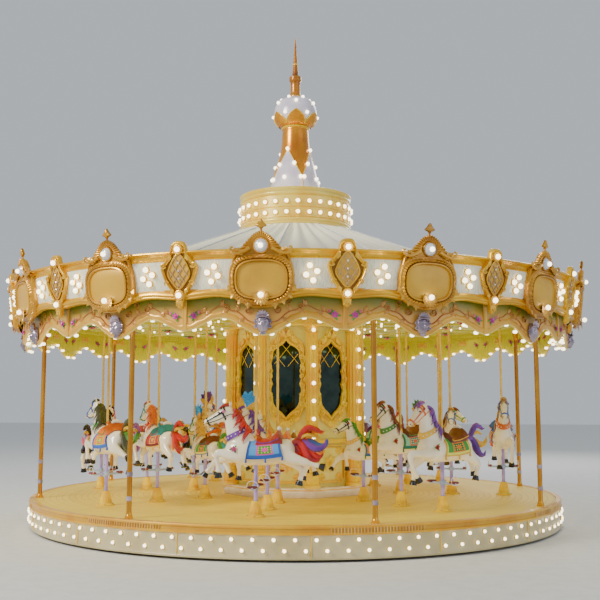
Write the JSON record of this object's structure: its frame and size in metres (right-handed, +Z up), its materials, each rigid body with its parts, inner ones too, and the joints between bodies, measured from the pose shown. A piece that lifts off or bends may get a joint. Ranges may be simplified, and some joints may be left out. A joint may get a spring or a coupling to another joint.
{
  "type": "fairground carousel",
  "caption": "Fairground carousel: a turning deck under a round canopy with lit rounding boards and a crown, a mirrored centre drum, and jumping horses three abreast on poles.",
  "frame": {"origin": "on the turning axis at ground level", "axes": "+Z up along the turning axis; the front of the carousel, with the first station, looks along -Y"},
  "size_m": [8.2692, 8.3396, 7.32],
  "materials": {
    "gilt": "warm gold paint with a satin gloss",
    "brass": "polished brass tube",
    "cream": "cream painted fibreglass with gold relief",
    "white": "white gloss paint",
    "canopy_yellow": "yellow-green painted fibreglass",
    "deck": "cream painted boards, fine grooves",
    "mirror": "silvered glass",
    "steel": "grey primer",
    "roofing": "pale coated sheet on ribs",
    "horse": "white gelcoat with painted harness"
  },
  "bodies": {
    "base": {"base_frame": "steel", "center_mast": "steel"},
    "turntable": {"deck_section_1": "deck", "deck_section_2": "deck", "deck_section_3": "deck", "deck_section_4": "deck", "deck_section_5": "deck", "deck_section_6": "deck", "deck_section_7": "deck", "deck_section_8": "deck", "rim_band": "gilt", "skirt": "white", "outer_poles": "brass", "core_plinth": "white", "core_wall": "cream", "core_mirrors": "mirror", "core_columns": "gilt", "ceiling": "canopy_yellow", "sweeps": "steel", "valance": "canopy_yellow", "rounding_boards": "gilt", "roof": "roofing", "crown_drum": "gilt", "crown_tower": "gilt", "spire": "gilt"},
    "horse_outer_1": {"horse_outer_1": "horse"},
    "horse_outer_2": {"horse_outer_2": "horse"},
    "horse_outer_3": {"horse_outer_3": "horse"},
    "horse_outer_4": {"horse_outer_4": "horse"},
    "horse_outer_5": {"horse_outer_5": "horse"},
    "horse_outer_6": {"horse_outer_6": "horse"},
    "horse_outer_7": {"horse_outer_7": "horse"},
    "horse_outer_8": {"horse_outer_8": "horse"},
    "horse_middle_1": {"horse_middle_1": "horse"},
    "horse_middle_2": {"horse_middle_2": "horse"},
    "horse_middle_3": {"horse_middle_3": "horse"},
    "horse_middle_4": {"horse_middle_4": "horse"},
    "horse_middle_5": {"horse_middle_5": "horse"},
    "horse_middle_6": {"horse_middle_6": "horse"},
    "horse_middle_7": {"horse_middle_7": "horse"},
    "horse_middle_8": {"horse_middle_8": "horse"},
    "horse_inner_1": {"horse_inner_1": "horse"},
    "horse_inner_2": {"horse_inner_2": "horse"},
    "horse_inner_3": {"horse_inner_3": "horse"},
    "horse_inner_4": {"horse_inner_4": "horse"},
    "horse_inner_5": {"horse_inner_5": "horse"},
    "horse_inner_6": {"horse_inner_6": "horse"},
    "horse_inner_7": {"horse_inner_7": "horse"},
    "horse_inner_8": {"horse_inner_8": "horse"}
  },
  "joints": [
    {"name": "turntable_turn", "type": "hinge", "parent": "base", "child": "turntable", "pos_m": [0, 0, 0], "axis": [0, 0, -1], "continuous": true},
    {"name": "jump_outer_1", "type": "slide", "parent": "turntable", "child": "horse_outer_1", "axis": [0, 0, 1], "range_m": [-0.12, 0.12]},
    {"name": "jump_outer_2", "type": "slide", "parent": "turntable", "child": "horse_outer_2", "axis": [0, 0, 1], "range_m": [-0.12, 0.12]},
    {"name": "jump_outer_3", "type": "slide", "parent": "turntable", "child": "horse_outer_3", "axis": [0, 0, 1], "range_m": [-0.18, 0.06]},
    {"name": "jump_outer_4", "type": "slide", "parent": "turntable", "child": "horse_outer_4", "axis": [0, 0, 1], "range_m": [-0.06, 0.18]},
    {"name": "jump_outer_5", "type": "slide", "parent": "turntable", "child": "horse_outer_5", "axis": [0, 0, 1], "range_m": [-0.12, 0.12]},
    {"name": "jump_outer_6", "type": "slide", "parent": "turntable", "child": "horse_outer_6", "axis": [0, 0, 1], "range_m": [-0.12, 0.12]},
    {"name": "jump_outer_7", "type": "slide", "parent": "turntable", "child": "horse_outer_7", "axis": [0, 0, 1], "range_m": [-0.06, 0.18]},
    {"name": "jump_outer_8", "type": "slide", "parent": "turntable", "child": "horse_outer_8", "axis": [0, 0, 1], "range_m": [-0.18, 0.06]},
    {"name": "jump_middle_1", "type": "slide", "parent": "turntable", "child": "horse_middle_1", "axis": [0, 0, 1], "range_m": [-0.12, 0.12]},
    {"name": "jump_middle_2", "type": "slide", "parent": "turntable", "child": "horse_middle_2", "axis": [0, 0, 1], "range_m": [-0.18, 0.06]},
    {"name": "jump_middle_3", "type": "slide", "parent": "turntable", "child": "horse_middle_3", "axis": [0, 0, 1], "range_m": [-0.12, 0.12]},
    {"name": "jump_middle_4", "type": "slide", "parent": "turntable", "child": "horse_middle_4", "axis": [0, 0, 1], "range_m": [-0.06, 0.18]},
    {"name": "jump_middle_5", "type": "slide", "parent": "turntable", "child": "horse_middle_5", "axis": [0, 0, 1], "range_m": [-0.12, 0.12]},
    {"name": "jump_middle_6", "type": "slide", "parent": "turntable", "child": "horse_middle_6", "axis": [0, 0, 1], "range_m": [-0.06, 0.18]},
    {"name": "jump_middle_7", "type": "slide", "parent": "turntable", "child": "horse_middle_7", "axis": [0, 0, 1], "range_m": [-0.12, 0.12]},
    {"name": "jump_middle_8", "type": "slide", "parent": "turntable", "child": "horse_middle_8", "axis": [0, 0, 1], "range_m": [-0.18, 0.06]},
    {"name": "jump_inner_1", "type": "slide", "parent": "turntable", "child": "horse_inner_1", "axis": [0, 0, 1], "range_m": [-0.12, 0.12]},
    {"name": "jump_inner_2", "type": "slide", "parent": "turntable", "child": "horse_inner_2", "axis": [0, 0, 1], "range_m": [-0.06, 0.18]},
    {"name": "jump_inner_3", "type": "slide", "parent": "turntable", "child": "horse_inner_3", "axis": [0, 0, 1], "range_m": [-0.12, 0.12]},
    {"name": "jump_inner_4", "type": "slide", "parent": "turntable", "child": "horse_inner_4", "axis": [0, 0, 1], "range_m": [-0.18, 0.06]},
    {"name": "jump_inner_5", "type": "slide", "parent": "turntable", "child": "horse_inner_5", "axis": [0, 0, 1], "range_m": [-0.12, 0.12]},
    {"name": "jump_inner_6", "type": "slide", "parent": "turntable", "child": "horse_inner_6", "axis": [0, 0, 1], "range_m": [-0.18, 0.06]},
    {"name": "jump_inner_7", "type": "slide", "parent": "turntable", "child": "horse_inner_7", "axis": [0, 0, 1], "range_m": [-0.12, 0.12]},
    {"name": "jump_inner_8", "type": "slide", "parent": "turntable", "child": "horse_inner_8", "axis": [0, 0, 1], "range_m": [-0.06, 0.18]}
  ],
  "couplings": [
    {"joint": "jump_outer_2", "follows": "jump_outer_1", "ratio": -1},
    {"joint": "jump_outer_4", "follows": "jump_outer_3", "ratio": -1},
    {"joint": "jump_outer_5", "follows": "jump_outer_1", "ratio": 1},
    {"joint": "jump_outer_6", "follows": "jump_outer_1", "ratio": -1},
    {"joint": "jump_outer_7", "follows": "jump_outer_3", "ratio": -1},
    {"joint": "jump_outer_8", "follows": "jump_outer_3", "ratio": 1},
    {"joint": "jump_middle_1", "follows": "jump_outer_1", "ratio": 1},
    {"joint": "jump_middle_2", "follows": "jump_outer_3", "ratio": 1},
    {"joint": "jump_middle_3", "follows": "jump_outer_1", "ratio": -1},
    {"joint": "jump_middle_4", "follows": "jump_outer_3", "ratio": -1},
    {"joint": "jump_middle_5", "follows": "jump_outer_1", "ratio": 1},
    {"joint": "jump_middle_6", "follows": "jump_outer_3", "ratio": -1},
    {"joint": "jump_middle_7", "follows": "jump_outer_1", "ratio": -1},
    {"joint": "jump_middle_8", "follows": "jump_outer_3", "ratio": 1},
    {"joint": "jump_inner_1", "follows": "jump_outer_1", "ratio": 1},
    {"joint": "jump_inner_2", "follows": "jump_outer_3", "ratio": -1},
    {"joint": "jump_inner_3", "follows": "jump_outer_1", "ratio": -1},
    {"joint": "jump_inner_4", "follows": "jump_outer_3", "ratio": 1},
    {"joint": "jump_inner_5", "follows": "jump_outer_1", "ratio": 1},
    {"joint": "jump_inner_6", "follows": "jump_outer_3", "ratio": 1},
    {"joint": "jump_inner_7", "follows": "jump_outer_1", "ratio": -1},
    {"joint": "jump_inner_8", "follows": "jump_outer_3", "ratio": -1}
  ]
}
